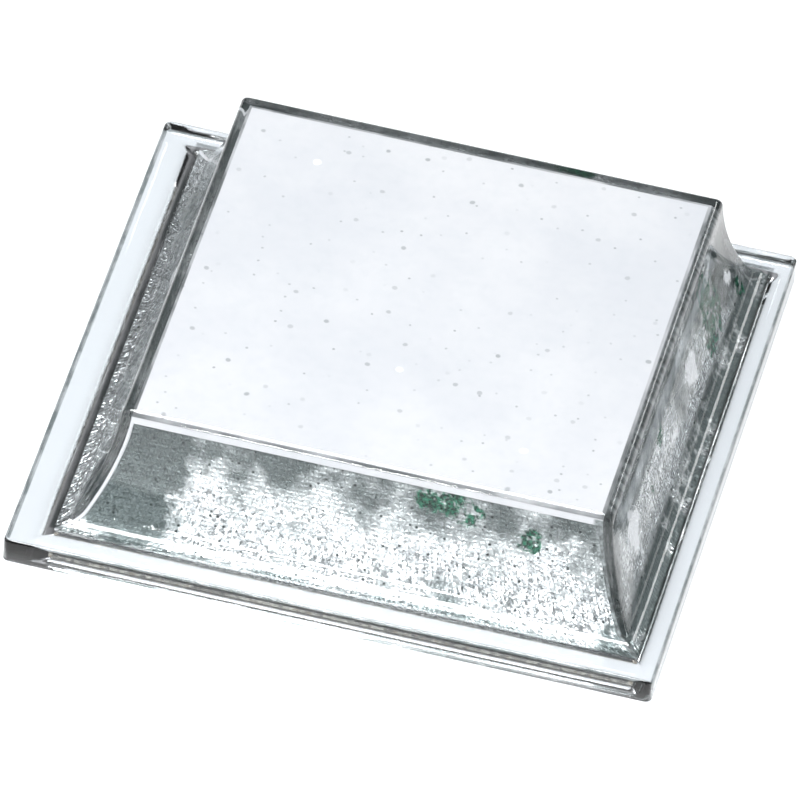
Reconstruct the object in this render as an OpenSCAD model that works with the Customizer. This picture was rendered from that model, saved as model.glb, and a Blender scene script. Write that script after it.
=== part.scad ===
// Raised pavement marker: a clear square shell with four coved sides over silvered
// reflectors, potted solid and closed underneath by a grit-faced base plate.
// +Z is up, +Y is the far side, and the origin is the middle of the underside.

/* [Flange] */
// Side of the square flange
flange_w = 100; // [80:1:120]
// Thickness of the flange
flange_t = 4.2; // [3:0.1:6]
// Radius of the flange's upright corners
flange_corner_r = 1; // [0.5:0.1:3]

/* [Block] */
// Side of the raised block where it meets the flange
block_w = 90.5; // [80:0.5:92]
// Height of the raised block above the flange
block_h = 19.2; // [16:0.1:21]
// How far the block sits right of the flange's middle
block_off_x = 1.5; // [0:0.1:2]
// How far the block sits behind the flange's middle
block_off_y = 0.5; // [0:0.1:2]
// Slope of the cove just under its shoulder, in degrees
cove_top_angle = 85; // [82:1:87]
// Slope of the cove where the foot fillet begins, in degrees
cove_foot_angle = 62; // [58:1:68]
// Radius of the rounded shoulder round the flat top
shoulder_r = 1.5; // [1:0.1:2.5]
// Radius of the fillet at the foot of the cove
foot_r = 3; // [2:0.1:4]

/* [Shell] */
// Thickness of the shell's coved walls
wall_t = 1.6; // [1.2:0.1:1.8]
// Thickness of the shell's flat top
top_t = 1.8; // [1.6:0.1:3]

/* [Reflectors] */
// Thickness of a silvered reflector panel
reflector_t = 0.8; // [0.6:0.1:1.2]
// How far each panel stops short of the mitre on either side of it
mitre_gap = 0.5; // [0.3:0.1:1]

/* [Carrier and base] */
// Thickness of the white carrier behind the reflectors
carrier_t = 1.5; // [1.2:0.1:2]
// Height of the carrier's white rim above the panels
rim_h = 1.1; // [1:0.1:2.5]
// Width of the sealing bead round the base plate
bead_w = 2.4; // [2.3:0.1:3]
// Thickness of the sealing bead
bead_t = 1; // [0.8:0.1:1.1]
// Thickness of the base plate
base_t = 1.6; // [1.2:0.1:2]
// Thickness of the grit layer on the underside
grit_t = 0.6; // [0.4:0.1:0.8]
// Width of a keying groove across the base plate's upper face
key_w = 3; // [2:0.5:5]
// Number of keying grooves
key_count = 5; // [3:2:9]

/* [Hidden] */

$fn = 180;
fit_gap = 0.05;                      // film of cement between two bonded pieces
reach = flange_w;                    // longer than any cut has to be
key_depth = base_t / 2;

total_h = flange_t + block_h;
cavity_top = total_h - top_t;
well_half = block_w / 2 - 0.25;
base_top = grit_t + base_t;
filling_z = base_top + fit_gap;

// Side outline, seen end on: a shoulder arc, a cove arc and a foot arc that meet tangentially.
cove_r = (block_h - shoulder_r * (1 - cos(cove_top_angle)) - foot_r * (1 - cos(cove_foot_angle)))
    / (cos(cove_foot_angle) - cos(cove_top_angle));
foot = [block_w / 2, flange_t + foot_r];
cove = foot + (cove_r - foot_r) * [sin(cove_foot_angle), cos(cove_foot_angle)];
shoulder = cove - (cove_r + shoulder_r) * [sin(cove_top_angle), cos(cove_top_angle)];
cove_top = cove - cove_r * [sin(cove_top_angle), cos(cove_top_angle)];
cove_foot = cove - cove_r * [sin(cove_foot_angle), cos(cove_foot_angle)];

// Layers behind the cove, as distances inwards from the outside surface
reflector_front = wall_t + fit_gap;
reflector_back = reflector_front + reflector_t;
carrier_front = reflector_back + fit_gap;
carrier_back = carrier_front + carrier_t;
core_front = carrier_back + fit_gap;
carrier_top = cavity_top - fit_gap;
pocket_top = carrier_top - rim_h;

// Repeats its children on both sides of the middle
module both_sides() {
    children();
    mirror([1, 0]) children();
}

// Right half of the block's outside outline, with the lens of the cove still on its chord
module block_half() {
    square([shoulder[0], total_h]);
    translate(shoulder) circle(r = shoulder_r);
    difference() {
        polygon([[0, 0], [foot[0], 0], [foot[0], flange_t], [cove_foot[0], flange_t],
            cove_foot, cove_top, shoulder, [0, shoulder[1]]]);
        intersection() {
            translate(cove) circle(r = cove_r);
            polygon([cove, cove + 2 * (cove_foot - cove), cove + 2 * (cove_top - cove)]);
        }
    }
    difference() {
        polygon([[cove_foot[0], flange_t], [foot[0], flange_t], cove_foot]);
        translate(foot) circle(r = foot_r);
    }
}

// Right half of a layer that lies depth inside the cove and its foot, between two heights
module layer_half(depth, low, high) {
    difference() {
        translate([0, low]) square([well_half - fit_gap, high - low]);
        intersection() {
            translate(cove) circle(r = cove_r + depth);
            polygon([cove, cove + 2 * (cove_foot - cove), cove + 2 * (cove_top - cove),
                [cove[0], 2 * total_h]]);
        }
        translate(foot) circle(r = foot_r + depth);
    }
}

// A bar along Y with the outline given as children
module bar() {
    rotate([90, 0, 0]) linear_extrude(height = 2 * reach, center = true) both_sides() children();
}

// The outline given as children on all four sides, meeting in mitres
module four_sided() {
    intersection() {
        bar() children();
        rotate([0, 0, 90]) bar() children();
    }
}

// A solid that fills the block up to a depth behind the cove
module filling(depth, low, high) {
    four_sided() layer_half(depth, low, high);
}

// Moves its children from the block's middle to the flange's
module on_block() {
    translate([block_off_x, block_off_y, 0]) children();
}

// Square plate with round upright corners
module rounded_plate(half, corner_r, low, high) {
    inner = half - corner_r;
    translate([0, 0, low]) linear_extrude(height = high - low) {
        square([2 * half, 2 * inner], center = true);
        square([2 * inner, 2 * half], center = true);
        for (x = [-inner, inner], y = [-inner, inner]) {
            translate([x, y]) circle(r = corner_r);
        }
    }
}

// Quarter of the block that faces -Y before it is turned, short of the mitres
module quarter(turn, gap) {
    rotate([0, 0, turn]) linear_extrude(height = total_h) {
        polygon([[0, -gap], [reach, -gap - reach], [-reach, -gap - reach]]);
    }
}

// What lies behind one side between two depths, up to a height
module side_layer(turn, front, back, high, gap) {
    intersection() {
        difference() {
            filling(front, grit_t, high);
            filling(back, 0, total_h);
        }
        quarter(turn, gap);
    }
}

// Silvered panel behind one side, whose foot spreads over the sealing bead
module reflector_panel(turn) {
    color("lightgrey") on_block() {
        side_layer(turn, reflector_front, reflector_back, pocket_top - fit_gap, mitre_gap);
    }
}

// Clear moulding: flange, four coved sides and flat top, open underneath
module lens_shell() {
    color([0.86, 0.92, 0.95, 0.45]) difference() {
        union() {
            rounded_plate(flange_w / 2, flange_corner_r, 0, flange_t);
            on_block() four_sided() block_half();
        }
        on_block() {
            filling(wall_t, -1, cavity_top);
            rounded_plate(well_half, flange_corner_r, -1, grit_t + bead_t);
        }
    }
}

module front_reflector() {
    reflector_panel(0);
}

module right_reflector() {
    reflector_panel(90);
}

module rear_reflector() {
    reflector_panel(180);
}

module left_reflector() {
    reflector_panel(270);
}

// White moulding whose top, rim and corner ribs show through the shell round the panels
module reflector_carrier() {
    color("aliceblue") on_block() difference() {
        filling(reflector_front, filling_z, carrier_top);
        for (turn = [0 : 90 : 270]) {
            side_layer(turn, 0, carrier_front, pocket_top, mitre_gap - fit_gap);
        }
        filling(carrier_back, 0, carrier_top - carrier_t);
    }
}

// Resin and sand cast into the carrier, keyed into the base plate's grooves
module potting_core() {
    color("tan") on_block() {
        filling(core_front, filling_z, carrier_top - carrier_t - fit_gap);
        key_bars(base_top - key_depth + fit_gap, key_w - 2 * fit_gap, filling_z);
    }
}

// Parallel bars across the base, of one width and between two heights
module key_bars(low, width, high) {
    span = 2 * (well_half - 4 * bead_w);
    pitch = span / key_count;
    for (k = [0 : key_count - 1]) {
        y = (k - (key_count - 1) / 2) * pitch;
        translate([-span / 2, y - width / 2, low]) cube([span, width, high - low]);
    }
}

// Plate that closes the well, grooved above for the resin
module base_plate() {
    plate_half = well_half - bead_w - fit_gap;
    color("dimgray") on_block() difference() {
        rounded_plate(plate_half, flange_corner_r, grit_t, base_top);
        key_bars(base_top - key_depth, key_w, base_top + 1);
    }
}

// Bead of sealant between the base plate's edge and the well
module sealing_bead() {
    bead_half = well_half - fit_gap;
    color("dimgray") on_block() difference() {
        rounded_plate(bead_half, flange_corner_r, grit_t, grit_t + bead_t);
        rounded_plate(well_half - bead_w, flange_corner_r, 0, total_h);
    }
}

// Coarse grit set in resin, which the road adhesive grips
module base_grit() {
    color("gray") on_block() rounded_plate(well_half - fit_gap, flange_corner_r, 0, grit_t);
}

lens_shell();
front_reflector();
rear_reflector();
left_reflector();
right_reflector();
reflector_carrier();
potting_core();
base_plate();
sealing_bead();
base_grit();
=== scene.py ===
import math
import random

import bmesh
import bpy
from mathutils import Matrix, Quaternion, Vector, noise


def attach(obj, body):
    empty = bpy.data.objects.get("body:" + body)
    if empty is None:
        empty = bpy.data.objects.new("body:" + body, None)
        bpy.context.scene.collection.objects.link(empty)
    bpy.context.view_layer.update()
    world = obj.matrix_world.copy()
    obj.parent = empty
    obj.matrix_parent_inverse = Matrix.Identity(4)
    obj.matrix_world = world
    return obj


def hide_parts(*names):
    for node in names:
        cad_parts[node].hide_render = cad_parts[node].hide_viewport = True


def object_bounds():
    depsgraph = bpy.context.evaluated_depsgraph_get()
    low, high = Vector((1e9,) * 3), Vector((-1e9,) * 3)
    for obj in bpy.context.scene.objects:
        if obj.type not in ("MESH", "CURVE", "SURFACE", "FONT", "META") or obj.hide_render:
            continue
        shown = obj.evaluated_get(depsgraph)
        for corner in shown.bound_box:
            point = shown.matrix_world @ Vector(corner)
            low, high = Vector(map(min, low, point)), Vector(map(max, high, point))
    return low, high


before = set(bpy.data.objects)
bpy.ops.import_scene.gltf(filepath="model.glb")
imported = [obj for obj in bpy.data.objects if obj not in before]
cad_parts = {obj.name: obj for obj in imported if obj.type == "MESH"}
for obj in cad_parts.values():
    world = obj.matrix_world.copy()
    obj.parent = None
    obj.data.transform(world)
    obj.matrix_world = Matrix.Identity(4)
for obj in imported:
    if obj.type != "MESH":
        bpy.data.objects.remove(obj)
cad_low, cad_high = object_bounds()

MM = 0.001

# ---------------------------------------------------------------- sizes, in metres
FLANGE_HALF = cad_high.x
TOTAL_H = cad_high.z
FLANGE_T = 4.2 * MM
FLANGE_CORNER_R = 1.0 * MM
FLANGE_EDGE_R = 0.45 * MM         # radius of the flange's top edge
FLANGE_BEVEL = 0.2 * MM           # of its bottom edge

BLOCK_HALF = 45.25 * MM
BLOCK_MIDDLE = Vector((1.5, 0.5)) * MM
SHOULDER_R = 1.5 * MM
FOOT_R = 3.0 * MM
COVE_TOP = math.radians(85)
COVE_FOOT = math.radians(62)
MITRE_R_TOP = 0.7 * MM            # radius of the block's upright corners, at the top
MITRE_R_FOOT = 0.5 * MM           # and where they run out on the flange

WALL_T = 1.6 * MM
TOP_T = 1.8 * MM
CEMENT = 0.05 * MM                # film between two cemented faces
CONTACT = 0.5 * MM                # how far the clear plastic reaches behind the silvered faces
REFLECTOR_T = 0.8 * MM
MITRE_GAP = 0.5 * MM              # how far a panel stops short of the mitres
RIM_H = 1.1 * MM                  # height of the carrier's rim above the panels
WELL_HALF = BLOCK_HALF - 0.25 * MM
GRIT_T = 0.6 * MM
BEAD_T = 1.0 * MM
BEAD_TOP = GRIT_T + BEAD_T
CAVITY_TOP = TOTAL_H - TOP_T
POCKET_TOP = CAVITY_TOP - CEMENT - RIM_H

# The arcs that the side outline is made of, as in the CAD model; a centre is (half width, z)
RISE = TOTAL_H - FLANGE_T
COVE_R = (
    RISE - SHOULDER_R * (1 - math.cos(COVE_TOP)) - FOOT_R * (1 - math.cos(COVE_FOOT))
) / (math.cos(COVE_FOOT) - math.cos(COVE_TOP))
FOOT = Vector((BLOCK_HALF, FLANGE_T + FOOT_R))
COVE = FOOT + (COVE_R - FOOT_R) * Vector((math.sin(COVE_FOOT), math.cos(COVE_FOOT)))
SHOULDER = COVE - (COVE_R + SHOULDER_R) * Vector((math.sin(COVE_TOP), math.cos(COVE_TOP)))


def arc(centre, radius, start, end, steps):
    """Points round centre whose outward direction turns from start to end, measured from +Z."""
    angles = [start + (end - start) * i / steps for i in range(steps + 1)]
    return [centre + radius * Vector((math.sin(a), math.cos(a))) for a in angles]


def on_layer(depth, slope):
    """The point of the side outline, depth inside it, where it slopes by this much."""
    centre, radius = (FOOT, FOOT_R) if slope < COVE_FOOT else (COVE, COVE_R)
    return centre - (radius + depth) * Vector((math.sin(slope), math.cos(slope)))


def slope_at_height(depth, z):
    """Slope of the cove, depth inside it, at height z."""
    return math.acos((COVE.y - z) / (COVE_R + depth))


def slope_at_half(depth, half):
    """Slope of the foot, depth inside it, at this half width."""
    return math.asin((FOOT.x - half) / (FOOT_R + depth))


def layer_slopes(depth, high, pitch):
    """Slopes from the foot's end up to a height, pitch apart along the outline."""
    start, end = slope_at_half(depth, WELL_HALF - CEMENT), slope_at_height(depth, high)
    foot_length = (COVE_FOOT - start) * (FOOT_R + depth)
    length = foot_length + (end - COVE_FOOT) * (COVE_R + depth)
    count = round(length / pitch)
    slopes = []
    for i in range(count + 1):
        way = length * i / count
        if way < foot_length:
            slopes.append(start + way / (FOOT_R + depth))
        else:
            slopes.append(COVE_FOOT + (way - foot_length) / (COVE_R + depth))
    return slopes


# ---------------------------------------------------------------- mesh helpers
def new_piece(name, bm, material, body="root", smooth=True):
    """Makes an object from bm, gives it its material and lets it ride on a body."""
    bmesh.ops.recalc_face_normals(bm, faces=bm.faces)
    mesh = bpy.data.meshes.new(name)
    bm.to_mesh(mesh)
    bm.free()
    mesh.materials.append(material)
    for face in mesh.polygons:
        face.use_smooth = smooth
    piece = bpy.data.objects.new(name, mesh)
    bpy.context.scene.collection.objects.link(piece)
    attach(piece, body)
    return piece


def rounded_square(middle, half, radius, z, corner_steps=6, side_steps=10):
    """Points of a square with round corners, the same number whatever its size."""
    inner = half - radius
    points = []
    for turn in range(4):
        base = turn * math.pi / 2
        ca, sa = math.cos(base), math.sin(base)
        local = [
            (half, -inner + 2 * inner * i / side_steps) for i in range(1, side_steps)
        ]
        local += [
            (inner + radius * math.cos(a), inner + radius * math.sin(a))
            for a in [math.pi / 2 * i / corner_steps for i in range(corner_steps + 1)]
        ]
        for x, y in local:
            points.append(Vector((middle.x + x * ca - y * sa, middle.y + x * sa + y * ca, z)))
    return points


def skin_rings(bm, rings):
    """Joins rings of equally many points into one tube."""
    made = [[bm.verts.new(p) for p in ring] for ring in rings]
    for lower, upper in zip(made, made[1:]):
        count = len(lower)
        for i in range(count):
            j = (i + 1) % count
            bm.faces.new((lower[i], lower[j], upper[j], upper[i]))
    return made


# ---------------------------------------------------------------- the clear shell
EDGE_STEPS, FOOT_STEPS, COVE_STEPS, SHOULDER_STEPS = 6, 8, 14, 10
CAVITY_PITCH = 0.8 * MM           # between the rings of the inside
# How far from an arc the ring lies that keeps the flat next to it flat
BELOW_EDGE, BESIDE, INSIDE_SHOULDER = 0.2 * MM, 0.3 * MM, 0.4 * MM


def shell_outline():
    """Outside rings from the underside up to the flat top: (middle, half, corner radius, z)."""
    middle = Vector((0, 0))
    edge = FLANGE_EDGE_R
    rings = [(middle, FLANGE_HALF - FLANGE_BEVEL, FLANGE_CORNER_R, 0.0)]
    rings.append((middle, FLANGE_HALF, FLANGE_CORNER_R, FLANGE_BEVEL))
    rings.append((middle, FLANGE_HALF, FLANGE_CORNER_R, FLANGE_T - edge - BELOW_EDGE))
    centre = Vector((FLANGE_HALF - edge, FLANGE_T - edge))
    for p in reversed(arc(centre, edge, 0, math.pi / 2, EDGE_STEPS)):
        rings.append((middle, p.x, FLANGE_CORNER_R, p.y))
    rings.append((middle, FLANGE_HALF - edge - BESIDE, FLANGE_CORNER_R * 0.8, FLANGE_T))

    rings.append((BLOCK_MIDDLE, BLOCK_HALF + BESIDE, MITRE_R_FOOT, FLANGE_T))
    foot = arc(FOOT, -FOOT_R, 0, COVE_FOOT, FOOT_STEPS)
    cove = arc(COVE, -COVE_R, COVE_FOOT, COVE_TOP, COVE_STEPS)[1:]
    shoulder = arc(SHOULDER, SHOULDER_R, COVE_TOP, 0, SHOULDER_STEPS)[1:]
    for p in foot + cove + shoulder:
        share = (p.y - FLANGE_T) / RISE
        mitre_r = MITRE_R_FOOT + (MITRE_R_TOP - MITRE_R_FOOT) * share
        rings.append((BLOCK_MIDDLE, p.x, mitre_r, p.y))
    rings.append((BLOCK_MIDDLE, SHOULDER.x - INSIDE_SHOULDER, MITRE_R_TOP, TOTAL_H))
    return rings


def cavity_outline():
    """Inside rings from the well's mouth up to the underside of the flat top.

    The clear plastic is cast onto the panels and the carrier with no air between, so its
    inside faces lie a little behind their faces.
    """
    sharp = 0.1 * MM
    depth = WALL_T + CONTACT
    ceiling = CAVITY_TOP - CONTACT
    rings = [(BLOCK_MIDDLE, WELL_HALF, FLANGE_CORNER_R, 0.0)]
    rings.append((BLOCK_MIDDLE, WELL_HALF, FLANGE_CORNER_R, BEAD_TOP))
    rings.append((BLOCK_MIDDLE, WELL_HALF - CEMENT, sharp, BEAD_TOP))
    for slope in layer_slopes(depth, ceiling, CAVITY_PITCH):
        p = on_layer(depth, slope)
        rings.append((BLOCK_MIDDLE, p.x, sharp, p.y))
    rings.append((BLOCK_MIDDLE, p.x - BESIDE, sharp, ceiling))
    return rings


def build_shell(material):
    """The clear shell: its outside and its inside, joined round the underside."""
    bm = bmesh.new()
    outside = skin_rings(bm, [rounded_square(m, h, r, z) for m, h, r, z in shell_outline()])
    inside = skin_rings(bm, [rounded_square(m, h, r, z) for m, h, r, z in cavity_outline()])
    bm.faces.new(outside[-1])
    bm.faces.new(inside[-1])
    count = len(outside[0])
    for i in range(count):
        j = (i + 1) % count
        bm.faces.new((outside[0][i], outside[0][j], inside[0][j], inside[0][i]))
    piece = new_piece("clear_shell", bm, material)
    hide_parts("lens_shell")


# ---------------------------------------------------------------- the reflector panels
CELL = 0.75 * MM                  # pitch of the micro-prisms
PRISM_DEPTH = 0.07 * MM
CORNER_DEPTH = 0.25               # most depth of a prism's corners, as a share of its own
APEX_DEPTH = (0.5, 1.1)           # least and most depth of its apex, as shares of its own
CORNER_SHIFT = 0.38               # how far a corner strays sideways at most, in cells
APEX_SHIFT = 0.2                  # and its apex
WAVE_LENGTH = 3.2 * MM            # of the waves that the silvered film dried in
WAVE_DEPTH = 0.12 * MM
SIDES = ("front_reflector", "right_reflector", "rear_reflector", "left_reflector")
FIRST_SEED = 11                   # of the random draws, one more for each side


def panel_point(turn, along, depth, slope):
    """A point on one side's layer: along is -1 to 1 between the mitres."""
    p = on_layer(depth, slope)
    x, y = along * (p.x - MITRE_GAP), -p.x
    a = turn * math.pi / 2
    return Vector(
        (
            BLOCK_MIDDLE.x + x * math.cos(a) - y * math.sin(a),
            BLOCK_MIDDLE.y + x * math.sin(a) + y * math.cos(a),
            p.y,
        )
    )


def build_reflector(turn, node, material):
    """A silvered panel: prisms pressed into its face, a plain back and closed edges."""
    dice = random.Random(FIRST_SEED + turn)
    front = WALL_T + CEMENT
    slopes = layer_slopes(front, POCKET_TOP - CEMENT, CELL)
    rows = len(slopes) - 1
    columns = round(2 * WELL_HALF / CELL)
    bm = bmesh.new()

    def between(r, c, depth, shift=0.0):
        """Point r rows up and c columns along, moved by up to shift of a cell each way."""
        r = min(max(r + dice.uniform(-shift, shift), 0), rows)
        c = min(max(c + dice.uniform(-shift, shift), 0), columns)
        below = min(int(r), rows - 1)
        slope = slopes[below] + (r - below) * (slopes[below + 1] - slopes[below])
        place = Vector((c * CELL, r * CELL, turn)) / WAVE_LENGTH
        wave = 0.5 + 0.5 * noise.noise(place) if depth < front + REFLECTOR_T else 0.0
        return bm.verts.new(
            panel_point(turn, 2 * c / columns - 1, depth + wave * WAVE_DEPTH, slope)
        )

    def grid(depth_of, shift):
        """Rows of points over the whole panel; those along its edges stay in place."""
        rim_rows, rim_columns = (0, rows), (0, columns)
        return [
            [
                between(r, c, depth_of(), 0.0 if r in rim_rows or c in rim_columns else shift)
                for c in range(columns + 1)
            ]
            for r in range(rows + 1)
        ]

    face = grid(lambda: front + dice.uniform(0, CORNER_DEPTH) * PRISM_DEPTH, CORNER_SHIFT)
    back = grid(lambda: front + REFLECTOR_T, 0.0)
    for r in range(rows):
        for c in range(columns):
            apex_depth = front + PRISM_DEPTH * dice.uniform(*APEX_DEPTH)
            apex = between(r + 0.5, c + 0.5, apex_depth, APEX_SHIFT)
            corners = (face[r][c], face[r][c + 1], face[r + 1][c + 1], face[r + 1][c])
            for a, b in zip(corners, corners[1:] + corners[:1]):
                bm.faces.new((a, b, apex))
            bm.faces.new((back[r][c], back[r + 1][c], back[r + 1][c + 1], back[r][c + 1]))
    for r in range(rows):
        for c, turned in ((0, 1), (columns, -1)):
            bm.faces.new((face[r][c], face[r + 1][c], back[r + 1][c], back[r][c])[::turned])
    for c in range(columns):
        for r, turned in ((0, -1), (rows, 1)):
            bm.faces.new((face[r][c], face[r][c + 1], back[r][c + 1], back[r][c])[::turned])
    piece = new_piece(node.replace("reflector", "prism_panel"), bm, material, smooth=False)
    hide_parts(node)


# ---------------------------------------------------------------- the gritted underside
GRAIN = 0.9 * MM                  # between neighbouring points of the rough face
GRIT_RIM = 0.25 * MM              # height of its outermost points, above the road
GRIT_LEVEL = 0.18 * MM            # usual height of the others
GRAIN_RISE = 0.16 * MM            # how far a single grain strays from it at most
SWELL_RISE = 0.12 * MM            # and how far a swell across several grains does


def build_grit(material):
    """Coarse grit: a slab with a rough underside whose highest grains touch the road."""
    half = WELL_HALF - CEMENT
    count = round(2 * half / GRAIN)
    places = [(2 * i / count - 1) * half for i in range(count + 1)]
    bm = bmesh.new()

    def rough(x, y):
        if max(abs(x), abs(y)) > half - 0.5 * GRAIN:
            return GRIT_RIM
        grain = noise.cell(Vector((x, y, 0)) / (0.8 * GRAIN))
        swell = noise.noise(Vector((x, y, 3 * MM)) / (3 * GRAIN))
        return max(0.0, GRIT_LEVEL + GRAIN_RISE * grain + SWELL_RISE * swell)

    def flat(x, y):
        return GRIT_T

    def sheet(height):
        return [
            [bm.verts.new((BLOCK_MIDDLE.x + x, BLOCK_MIDDLE.y + y, height(x, y))) for x in places]
            for y in places
        ]

    under, upper = sheet(rough), sheet(flat)
    for r in range(count):
        for c in range(count):
            bm.faces.new((under[r][c], under[r + 1][c], under[r + 1][c + 1], under[r][c + 1]))
            bm.faces.new((upper[r][c], upper[r][c + 1], upper[r + 1][c + 1], upper[r + 1][c]))
    for i in range(count):
        edges = (
            ((0, i), (0, i + 1)),
            ((count, i + 1), (count, i)),
            ((i + 1, 0), (i, 0)),
            ((i, count), (i + 1, count)),
        )
        for (ra, ca), (rb, cb) in edges:
            bm.faces.new((under[ra][ca], under[rb][cb], upper[rb][cb], upper[ra][ca]))
    piece = new_piece("grit_layer", bm, material, smooth=False)
    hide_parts("base_grit")


# ---------------------------------------------------------------- materials
class Nodes:
    """A short way to write a node tree."""

    def __init__(self, name):
        self.material = bpy.data.materials.new(name)
        self.material.use_nodes = True
        self.tree = self.material.node_tree
        self.tree.nodes.clear()
        self.out = self.add("ShaderNodeOutputMaterial")
        self.place = self.add("ShaderNodeTexCoord").outputs["Object"]

    def add(self, kind, inputs=None, **settings):
        node = self.tree.nodes.new(kind)
        for key, value in settings.items():
            setattr(node, key, value)
        for key, value in (inputs or {}).items():
            self.put(node, key, value)
        return node

    def put(self, node, key, value):
        if isinstance(value, bpy.types.NodeSocket):
            self.tree.links.new(value, node.inputs[key])
        else:
            node.inputs[key].default_value = value

    def noise(self, scale, detail=4.0, rough=0.55, stretch=None):
        place = self.place
        if stretch:
            place = self.add("ShaderNodeMapping", {"Vector": place, "Scale": stretch}).outputs[0]
        inputs = {"Vector": place, "Scale": scale, "Detail": detail, "Roughness": rough}
        return self.add("ShaderNodeTexNoise", inputs).outputs["Fac"]

    def specks(self, scale, size, random_share, least=1.0, flat=False):
        """Ragged spots, one in each chosen cell of a given scale: from least to 1, else 0."""
        cells = self.add(
            "ShaderNodeTexVoronoi",
            {"Vector": self.place, "Scale": scale, "Randomness": 1.0},
            voronoi_dimensions="2D" if flat else "3D",
        )
        ragged = self.math("MULTIPLY", self.noise(6 * scale, 2), size)
        away = self.math("ADD", cells.outputs["Distance"], ragged)
        spot = self.ramp(away, 1.7 * size, 1.1 * size)
        pick = self.add("ShaderNodeSeparateColor", {"Color": cells.outputs["Color"]}).outputs
        kept = self.math("LESS_THAN", pick[0], random_share)
        return self.product(spot, kept, self.span(pick[1], least, 1))

    def ramp(self, value, low, high):
        """value mapped so that low becomes 0 and high becomes 1, with smooth ends."""
        node = self.add(
            "ShaderNodeMapRange",
            {"Value": value, "From Min": low, "From Max": high},
            interpolation_type="SMOOTHSTEP",
        )
        return node.outputs[0]

    def span(self, value, low, high):
        """value from 0 to 1 mapped to low to high."""
        node = self.add("ShaderNodeMapRange", {"Value": value, "To Min": low, "To Max": high})
        return node.outputs[0]

    def math(self, operation, a, b=0.0):
        return self.add("ShaderNodeMath", {0: a, 1: b}, operation=operation).outputs[0]

    def product(self, first, *others):
        for other in others:
            first = self.math("MULTIPLY", first, other)
        return first

    def largest(self, first, *others):
        for other in others:
            first = self.math("MAXIMUM", first, other)
        return first

    def mix(self, share, a, b):
        """Colours a and b mixed; the node's colour sockets are inputs 6 and 7 and output 2."""
        node = self.add("ShaderNodeMix", data_type="RGBA")
        self.put(node, 0, share)
        for key, value in ((6, a), (7, b)):
            if not isinstance(value, bpy.types.NodeSocket):
                value = (*value, 1.0)
            self.put(node, key, value)
        return node.outputs[2]

    def bump(self, height, strength, distance, under=None):
        inputs = {"Height": height, "Strength": strength, "Distance": distance}
        if under:
            inputs["Normal"] = under
        return self.add("ShaderNodeBump", inputs).outputs[0]

    def axis(self, index):
        return self.add("ShaderNodeSeparateXYZ", {0: self.place}).outputs[index]

    def from_middle(self, middle):
        """How far right of the middle, and how far behind it."""
        return [self.math("SUBTRACT", self.axis(i), middle[i]) for i in (0, 1)]

    def furthest(self, middle):
        """The larger of the distances from the middle along X and along Y."""
        return self.largest(*[self.math("ABSOLUTE", way) for way in self.from_middle(middle)])

    def grains(self, scale):
        """Packed grains: three random shares for each, and the distance from its middle."""
        cells = self.add("ShaderNodeTexVoronoi", {"Vector": self.place, "Scale": scale})
        pick = self.add("ShaderNodeSeparateColor", {"Color": cells.outputs["Color"]})
        return pick.outputs, cells.outputs["Distance"]

    def distance(self, point):
        node = self.add("ShaderNodeVectorMath", {0: self.place, 1: point}, operation="DISTANCE")
        return node.outputs["Value"]

    def surface(self, **inputs):
        named = {key.replace("_", " "): value for key, value in inputs.items()}
        shader = self.add("ShaderNodeBsdfPrincipled", named)
        self.tree.links.new(shader.outputs[0], self.out.inputs["Surface"])
        return shader


def painted_edge_shade(n):
    """A mask of painted shade: dark lines on the flange's edges, round the foot of the block and
    down its right-hand mitres.
    """
    height = n.axis(2)
    at_edge = n.ramp(n.furthest(Vector((0, 0))), FLANGE_HALF - 0.5 * MM, FLANGE_HALF - 0.3 * MM)
    upper = n.ramp(height, FLANGE_T - 0.8 * MM, FLANGE_T - 0.5 * MM)
    lower = n.ramp(height, 0.7 * MM, 0.4 * MM)
    edges = n.product(at_edge, n.largest(upper, lower))

    from_foot = n.math("ABSOLUTE", n.math("SUBTRACT", n.furthest(BLOCK_MIDDLE), BLOCK_HALF))
    foot = n.product(
        n.ramp(from_foot, 0.6 * MM, 0.2 * MM),
        n.ramp(height, FLANGE_T + 0.4 * MM, FLANGE_T + 0.1 * MM),
        n.ramp(height, FLANGE_T - 0.3 * MM, FLANGE_T - 0.1 * MM),
    )

    to_right, to_back = n.from_middle(BLOCK_MIDDLE)
    off_mitre = n.math("ABSOLUTE", n.math("SUBTRACT", to_right, n.math("ABSOLUTE", to_back)))
    reach = n.span(n.ramp(to_back, 20 * MM, 30 * MM), 1.6 * MM, 4.5 * MM)
    mitres = n.product(
        n.ramp(n.math("DIVIDE", off_mitre, reach), 1.0, 0.5),
        n.ramp(to_right, 20 * MM, 30 * MM),
        n.ramp(height, FLANGE_T + 0.5 * MM, FLANGE_T + 1.5 * MM),
        n.ramp(height, TOTAL_H - 0.1 * MM, TOTAL_H - 0.4 * MM),
        0.6,
    )
    patchy = n.span(n.ramp(n.noise(120, 4, 0.6), 0.35, 0.6), 0.65, 1.0)
    return n.product(n.largest(mitres, edges, foot), patchy)


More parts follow.
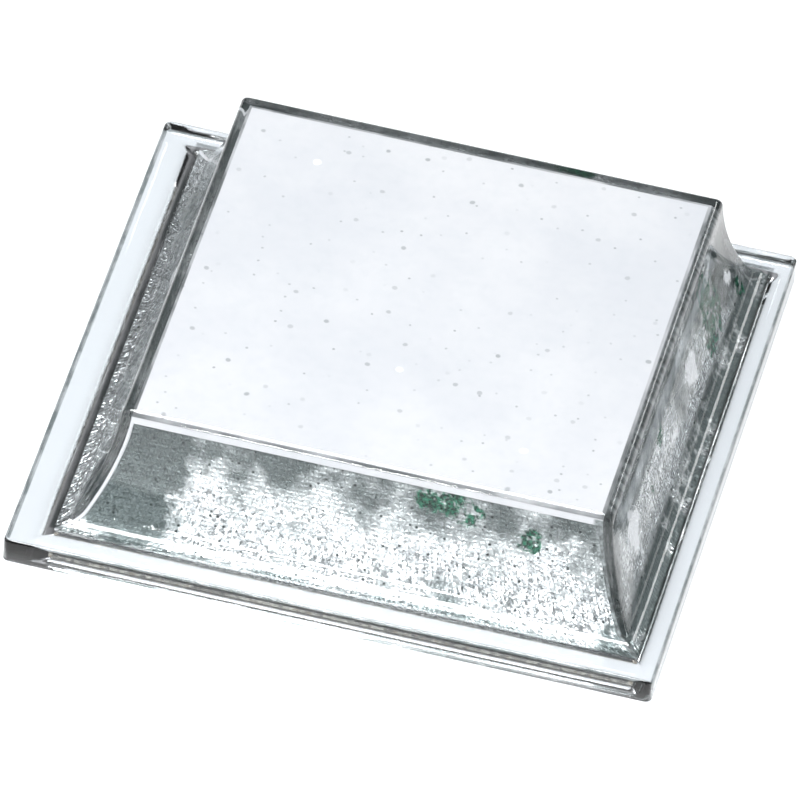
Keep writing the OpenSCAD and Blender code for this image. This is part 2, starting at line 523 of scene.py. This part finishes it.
def clear_acrylic():
    """Clear moulded acrylic, polished, with hazy scuffs, fine scratches and edges darkened by
    painted shade.

    Light on its way to another piece goes straight through it, or the inside would be dark.
    """
    # The darker colour paints shade on the edges and mitres.
    clear, edge_shade_dark = (0.86, 0.88, 0.90), (0.05, 0.065, 0.065)
    let_through = (0.85, 0.865, 0.875, 1.0)
    n = Nodes("clear_acrylic")
    scratch = n.ramp(n.noise(900, 2, stretch=(1, 0.06, 1)), 0.62, 0.72)
    scuff = n.ramp(n.noise(260, 6, 0.7), 0.52, 0.75)
    wear = n.largest(n.product(scratch, 0.5), n.product(scuff, n.noise(60, 3)))
    # Painted shade along the flange's edges, the block's foot and the right-hand mitres.
    edge_shade = painted_edge_shade(n)
    glass = n.surface(
        Base_Color=n.mix(edge_shade, clear, edge_shade_dark),
        Roughness=n.span(n.largest(wear, edge_shade), 0.02, 0.16),
        IOR=1.49,
        Transmission_Weight=1.0,
        Normal=n.bump(wear, 0.08, 0.1 * MM, n.bump(n.noise(1400, 3), 0.05, 0.1 * MM)),
    )
    through = n.add("ShaderNodeBsdfTransparent", {"Color": let_through})
    path = n.add("ShaderNodeLightPath")
    on_its_way = n.largest(path.outputs["Is Shadow Ray"], path.outputs["Is Diffuse Ray"])
    both = n.add("ShaderNodeMixShader", {0: on_its_way, 1: glass.outputs[0], 2: through.outputs[0]})
    n.tree.links.new(both.outputs[0], n.out.inputs["Surface"])
    return n.material


# Marks on the silver: (side, along it from -1 to 1, height, radius). Side 0 is the front, and
# the others follow anticlockwise.
# Patches drawn dull and dark, as painted shade: on the front's left end, the back of the right
# panel, and one each on the rear and left panels.
DULL_AND_SHADED = (
    (0, -0.90, 15.0 * MM, 8.0 * MM),
    (0, -0.88, 7.0 * MM, 8.0 * MM),
    (1, 0.92, 13.0 * MM, 8.0 * MM),
    (2, 0.85, 9.0 * MM, 7.0 * MM),
    (3, -0.80, 14.0 * MM, 6.0 * MM),
)
# Green and dark patches: painted reflections of green surroundings in the silver.
GREEN_REFLECTIONS = (
    (0, 0.27, 18.0 * MM, 2.7 * MM),
    (0, 0.37, 18.4 * MM, 3.0 * MM),
    (0, 0.46, 17.8 * MM, 2.4 * MM),
    (0, 0.71, 15.0 * MM, 2.4 * MM),
    (1, 0.66, 11.0 * MM, 5.2 * MM),
    (1, 0.56, 7.5 * MM, 3.0 * MM),
    (1, 0.62, 16.5 * MM, 3.6 * MM),
    (1, 0.93, 5.6 * MM, 2.4 * MM),
    (1, -0.20, 13.0 * MM, 1.9 * MM),
    (1, -0.40, 10.0 * MM, 1.7 * MM),
    (2, -0.40, 16.0 * MM, 3.6 * MM),
    (3, 0.50, 13.0 * MM, 3.0 * MM),
)
# White patches without metal: painted glints.
PAINTED_GLINTS = (
    (1, 0.30, 11.0 * MM, 3.2 * MM),
    (1, -0.70, 12.0 * MM, 3.6 * MM),
    (1, -0.05, 9.0 * MM, 1.9 * MM),
    (1, 0.90, 10.0 * MM, 1.9 * MM),
    (2, 0.30, 10.0 * MM, 2.2 * MM),
    (3, -0.20, 10.0 * MM, 2.2 * MM),
)
EDGE_WANDER = 9 * MM              # width of the band that a mark's ragged edge lies in
WANDER_OUT = 4 * MM               # how much of it is outside the mark's radius


def marks(n, places, blur):
    """1 on the marks round these places and 0 elsewhere, with ragged edges."""
    ragged = n.product(n.noise(230, 6, 0.72), EDGE_WANDER)
    depth = WALL_T + CEMENT
    share = 0.0
    for turn, along, height, radius in places:
        centre = panel_point(turn, along, depth, slope_at_height(depth, height))
        away = n.math("ADD", n.distance(centre), ragged)
        reach = radius + WANDER_OUT
        share = n.largest(share, n.ramp(away, reach + blur, reach - blur))
    return share


def silvered_prism():
    """Vacuum-silvered plastic, bright, with dull grains, dark pinholes, patches of painted shade
    and painted green reflections.

    White patches without metal are painted glints.
    """
    n = Nodes("silvered_prism")
    grain = n.noise(1500, 3, 0.65)
    cloud = n.noise(130, 5, 0.62)
    height = n.axis(2)
    bright = n.mix(n.ramp(grain, 0.35, 0.65), (0.62, 0.65, 0.65), (0.93, 0.955, 0.955))
    # The dark colour is both dull silver and painted shade; the green is a painted reflection, and
    # the white a painted glint.
    dull_and_shaded_silver = n.mix(grain, (0.05, 0.062, 0.062), (0.21, 0.245, 0.242))
    reflected_green = n.mix(n.ramp(grain, 0.4, 0.6), (0.01, 0.035, 0.026), (0.035, 0.2, 0.12))
    pinhole_dark, painted_glint_white = (0.05, 0.06, 0.06), (0.9, 0.91, 0.92)

    # Painted shade: the silver is drawn darker from 9 mm up towards the shoulder.
    shade_under_shoulder = n.product(n.ramp(height, 9 * MM, 20 * MM), 0.2)
    clouded_and_shaded = n.math("ADD", n.math("ADD", cloud, shade_under_shoulder), n.product(grain, 0.15))
    # Painted shade: a dark band along the foot of the right panel.
    right_foot_shade = n.product(
        n.ramp(n.axis(0), 38 * MM, 41 * MM),
        n.ramp(height, 6.2 * MM, 4.8 * MM),
        n.ramp(cloud, 0.35, 0.5),
    )
    dull_and_shade = n.largest(n.ramp(clouded_and_shaded, 0.5, 0.86), marks(n, DULL_AND_SHADED, 1.5 * MM), right_foot_shade)
    broken = n.ramp(n.noise(480, 3, 0.6), 0.36, 0.48)
    # Painted green reflections, broken up.
    green_reflection = n.product(marks(n, GREEN_REFLECTIONS, 0.4 * MM), broken)
    pinhole = n.specks(900, 0.24, 0.25)
    # Painted glints.
    painted_glint = marks(n, PAINTED_GLINTS, 0.5 * MM)

    # Where the clouding or the painted shade lies, the silver turns to the dark colour.
    colour = n.mix(dull_and_shade, bright, dull_and_shaded_silver)
    colour = n.mix(green_reflection, colour, reflected_green)
    colour = n.mix(pinhole, colour, pinhole_dark)
    colour = n.mix(painted_glint, colour, painted_glint_white)
    rough = n.span(n.largest(dull_and_shade, pinhole), 0.2, 0.5)
    n.surface(
        Base_Color=colour,
        Metallic=n.span(painted_glint, 1.0, 0.0),
        Roughness=n.largest(rough, n.product(green_reflection, 0.6)),
        Normal=n.bump(grain, 0.3, 0.1 * MM, n.bump(n.noise(380, 3), 0.55, 0.5 * MM)),
    )
    return n.material


def white_carrier():
    """Blue-white moulded plastic with grey specks, faint clouding and a dark glue line.

    Its rim and ribs on the right are darkened with painted shade.
    """
    n = Nodes("white_carrier")
    height = n.axis(2)
    to_right = n.from_middle(BLOCK_MIDDLE)[0]
    depth = WALL_T + CEMENT
    edge = on_layer(depth, slope_at_height(depth, CAVITY_TOP - CEMENT)).x
    speck_grey, glint_white, glue_dark = (0.2, 0.22, 0.23), (0.99, 0.99, 0.99), (0.06, 0.07, 0.07)

    mottle = n.ramp(n.noise(420, 4, 0.6), 0.35, 0.75)
    coarse = n.specks(150, 0.065, 0.5, 0.15, flat=True)
    fine = n.specks(310, 0.07, 0.35, 0.1, flat=True)
    glint = n.specks(90, 0.06, 0.1, flat=True)
    glue = n.product(
        n.ramp(n.furthest(BLOCK_MIDDLE), edge - 0.45 * MM, edge - 0.3 * MM),
        n.ramp(height, CAVITY_TOP - 0.25 * MM, CAVITY_TOP - 0.15 * MM),
        n.span(n.ramp(n.noise(70, 3), 0.35, 0.6), 0.3, 0.9),
    )
    # Painted shade: a dark band on the rim beside the right-hand edge of the top.
    right_rim_shade = n.product(
        n.ramp(to_right, edge - 1.6 * MM, edge - 0.9 * MM),
        n.ramp(height, CAVITY_TOP - 0.2 * MM, CAVITY_TOP - 0.35 * MM),
    )
    right_rim_shade_grey = n.mix(n.ramp(n.noise(900, 3), 0.35, 0.65), (0.06, 0.07, 0.07), (0.3, 0.33, 0.33))

    colour = n.mix(n.ramp(n.noise(38, 4, 0.6), 0.3, 0.7), (0.67, 0.677, 0.70), (0.75, 0.747, 0.757))
    colour = n.mix(n.span(mottle, 0.0, 0.16), colour, (0.52, 0.55, 0.58))
    colour = n.mix(n.product(n.largest(coarse, fine), 0.6), colour, speck_grey)
    colour = n.mix(glint, colour, glint_white)
    colour = n.mix(glue, colour, glue_dark)
    colour = n.mix(right_rim_shade, colour, right_rim_shade_grey)
    n.surface(
        Base_Color=colour,
        Roughness=n.span(mottle, 0.32, 0.6),
        Normal=n.bump(n.noise(900, 5, 0.6), 0.2, 0.1 * MM),
    )
    return n.material


def potting_resin():
    """Cast resin full of sand, with air holes."""
    n = Nodes("potting_resin")
    pick, away = n.grains(1300)
    colour = n.mix(pick[0], (0.34, 0.28, 0.2), (0.62, 0.56, 0.45))
    holes = n.specks(350, 0.2, 0.3)
    colour = n.mix(holes, colour, (0.12, 0.1, 0.08))
    n.surface(
        Base_Color=colour,
        Roughness=n.span(pick[0], 0.55, 0.85),
        Normal=n.bump(away, 0.6, 0.3 * MM),
    )
    return n.material


def base_plastic():
    """Dark grey moulded plastic with a fine spark-eroded grain."""
    n = Nodes("base_plastic")
    grain = n.noise(1600, 4, 0.6)
    colour = n.mix(n.noise(90, 3), (0.035, 0.038, 0.04), (0.075, 0.08, 0.083))
    n.surface(
        Base_Color=colour,
        Roughness=n.span(grain, 0.45, 0.7),
        Normal=n.bump(grain, 0.4, 0.15 * MM),
    )
    return n.material


def sealant():
    """Cured dark sealant, slightly wavy and dusty."""
    n = Nodes("sealant")
    dust = n.ramp(n.noise(300, 5, 0.65), 0.5, 0.75)
    colour = n.mix(dust, (0.02, 0.022, 0.022), (0.12, 0.12, 0.115))
    n.surface(
        Base_Color=colour,
        Roughness=n.span(dust, 0.35, 0.75),
        Normal=n.bump(n.noise(220, 3), 0.5, 0.4 * MM),
    )
    return n.material


def grit():
    """Sand grains of several greys and browns set in resin."""
    n = Nodes("grit")
    pick, away = n.grains(1500)
    colour = n.mix(pick[0], (0.16, 0.15, 0.14), (0.6, 0.57, 0.5))
    colour = n.mix(n.ramp(pick[1], 0.8, 0.9), colour, (0.3, 0.26, 0.21))
    n.surface(
        Base_Color=colour,
        Roughness=n.span(pick[2], 0.4, 0.9),
        Normal=n.bump(away, 0.8, 0.4 * MM),
    )
    return n.material


def studio_floor():
    """Plain pale paper, seen only from above so that the underside can be looked at."""
    n = Nodes("studio_floor")
    shader = n.surface(
        Base_Color=n.mix(n.noise(400, 3), (0.90, 0.905, 0.91), (0.92, 0.925, 0.93)),
        Roughness=0.9,
        Normal=n.bump(n.noise(3000, 2), 0.1, 0.05 * MM),
    )
    gone = n.add("ShaderNodeBsdfTransparent")
    back = n.add("ShaderNodeNewGeometry").outputs["Backfacing"]
    both = n.add("ShaderNodeMixShader", {0: back, 1: shader.outputs[0], 2: gone.outputs[0]})
    n.tree.links.new(both.outputs[0], n.out.inputs["Surface"])
    return n.material


# ---------------------------------------------------------------- studio
AZIMUTH, ELEVATION = 9.6, 42.2      # where the camera stands, in degrees
ROLL = 5.9                          # how far it is turned anticlockwise, in degrees
CAMERA_DISTANCE = 2.5
SENSOR_WIDTH = 36                   # in millimetres, as the lens is
PICTURE_WIDTH = 0.1208              # how much the picture takes in at the object
MIDDLE = Vector((0.0, 0.0, 0.012))
AIM_LEFT, AIM_BELOW = 0.0014, 0.0063     # where the camera aims, from the middle
FLOOR_HALF = 6.0
FLOOR_DROP = 0.02 * MM              # how far the floor lies under the marker
WALL_COLOUR = (0.965, 0.975, 1.0, 1.0)
HORIZON_LIGHT, ZENITH_LIGHT = 0.04, 0.5
ZENITH_SINE = 0.9                   # of the elevation from which the walls are brightest
# Each lamp's name, azimuth and elevation in degrees, distance, size and power in watts
LAMPS = (
    ("key", -32, 74, 0.9, (0.34, 0.34), 9.0),
    ("front_fill", -7, 15, 0.3, (0.05, 0.03), 0.24),
    ("left_fill", -80, 30, 0.9, (0.3, 0.3), 1.4),
    ("right_rim", 70, 25, 0.9, (0.25, 0.5), 1.2),
    ("rear_rim", 145, 28, 0.9, (0.4, 0.12), 1.0),
)


def direction(azimuth, elevation):
    """The way from the marker to a place: azimuth turns from the front to the right."""
    a, e = math.radians(azimuth), math.radians(elevation)
    return Vector((math.sin(a) * math.cos(e), -math.cos(a) * math.cos(e), math.sin(e)))


def make_camera():
    """A long lens far off, so that the picture has hardly any perspective."""
    data = bpy.data.cameras.new("camera")
    data.sensor_width = SENSOR_WIDTH
    data.lens = SENSOR_WIDTH * CAMERA_DISTANCE / PICTURE_WIDTH
    data.clip_start, data.clip_end = 0.05, 100
    camera = bpy.data.objects.new("camera", data)
    bpy.context.scene.collection.objects.link(camera)
    back = direction(AZIMUTH, ELEVATION)
    turned = (-back).to_track_quat("-Z", "Y") @ Quaternion((0, 0, 1), math.radians(ROLL))
    aim = MIDDLE + turned @ Vector((-AIM_LEFT, -AIM_BELOW, 0))
    camera.rotation_mode = "QUATERNION"
    camera.rotation_quaternion = turned
    camera.location = aim + back * CAMERA_DISTANCE
    bpy.context.scene.camera = camera


def softbox(name, azimuth, elevation, distance, size, power):
    """A flat lamp turned toward the marker, hidden from the camera itself."""
    data = bpy.data.lights.new(name, "AREA")
    data.shape = "RECTANGLE"
    data.size, data.size_y = size
    data.energy = power
    lamp = bpy.data.objects.new(name, data)
    bpy.context.scene.collection.objects.link(lamp)
    back = direction(azimuth, elevation)
    lamp.location = MIDDLE + back * distance
    lamp.rotation_mode = "QUATERNION"
    lamp.rotation_quaternion = (-back).to_track_quat("-Z", "Y")
    lamp.visible_camera = False


def studio_walls():
    """Soft light all round, dim at the horizon and brighter overhead and underneath."""
    world = bpy.data.worlds.new("studio")
    world.use_nodes = True
    tree = world.node_tree
    toward = tree.nodes.new("ShaderNodeTexCoord").outputs["Generated"]
    height = tree.nodes.new("ShaderNodeSeparateXYZ")
    level = tree.nodes.new("ShaderNodeMath")
    level.operation = "ABSOLUTE"
    shade = tree.nodes.new("ShaderNodeMapRange")
    shade.inputs["From Max"].default_value = ZENITH_SINE
    shade.inputs["To Min"].default_value = HORIZON_LIGHT
    shade.inputs["To Max"].default_value = ZENITH_LIGHT
    tree.links.new(toward, height.inputs[0])
    tree.links.new(height.outputs["Z"], level.inputs[0])
    tree.links.new(level.outputs[0], shade.inputs["Value"])
    background = tree.nodes["Background"]
    background.inputs["Color"].default_value = WALL_COLOUR
    tree.links.new(shade.outputs[0], background.inputs["Strength"])
    return world


def square_ring(middle, half):
    """The corners of a level square at z 0."""
    corners = ((-half, -half), (half, -half), (half, half), (-half, half))
    return [(middle.x + x, middle.y + y, 0) for x, y in corners]


def lay_floor():
    """The floor, left open under the marker so that light from below reaches its underside."""
    bm = bmesh.new()
    outer = [bm.verts.new(p) for p in square_ring(Vector((0, 0)), FLOOR_HALF)]
    inner = [bm.verts.new(p) for p in square_ring(BLOCK_MIDDLE, WELL_HALF - MM)]
    for i in range(4):
        j = (i + 1) % 4
        bm.faces.new((outer[i], outer[j], inner[j], inner[i]))
    mesh = bpy.data.meshes.new("floor")
    bm.to_mesh(mesh)
    bm.free()
    mesh.materials.append(studio_floor())
    floor = bpy.data.objects.new("floor", mesh)
    floor.location.z = -FLOOR_DROP
    bpy.context.scene.collection.objects.link(floor)


def make_studio():
    scene = bpy.context.scene
    scene.view_settings.view_transform = "Standard"
    scene.view_settings.look = "None"
    scene.view_settings.exposure = 0.0
    scene.world = studio_walls()
    for lamp in LAMPS:
        softbox(*lamp)
    lay_floor()


def assign(node, material):
    """Gives a material to a CAD node that is shown as it is."""
    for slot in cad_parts[node].material_slots:
        slot.material = material


# ---------------------------------------------------------------- build
make_camera()
make_studio()
build_shell(clear_acrylic())
silver = silvered_prism()
for turn, node in enumerate(SIDES):
    build_reflector(turn, node, silver)
build_grit(grit())
assign("reflector_carrier", white_carrier())
assign("potting_core", potting_resin())
assign("base_plate", base_plastic())
assign("sealing_bead", sealant())
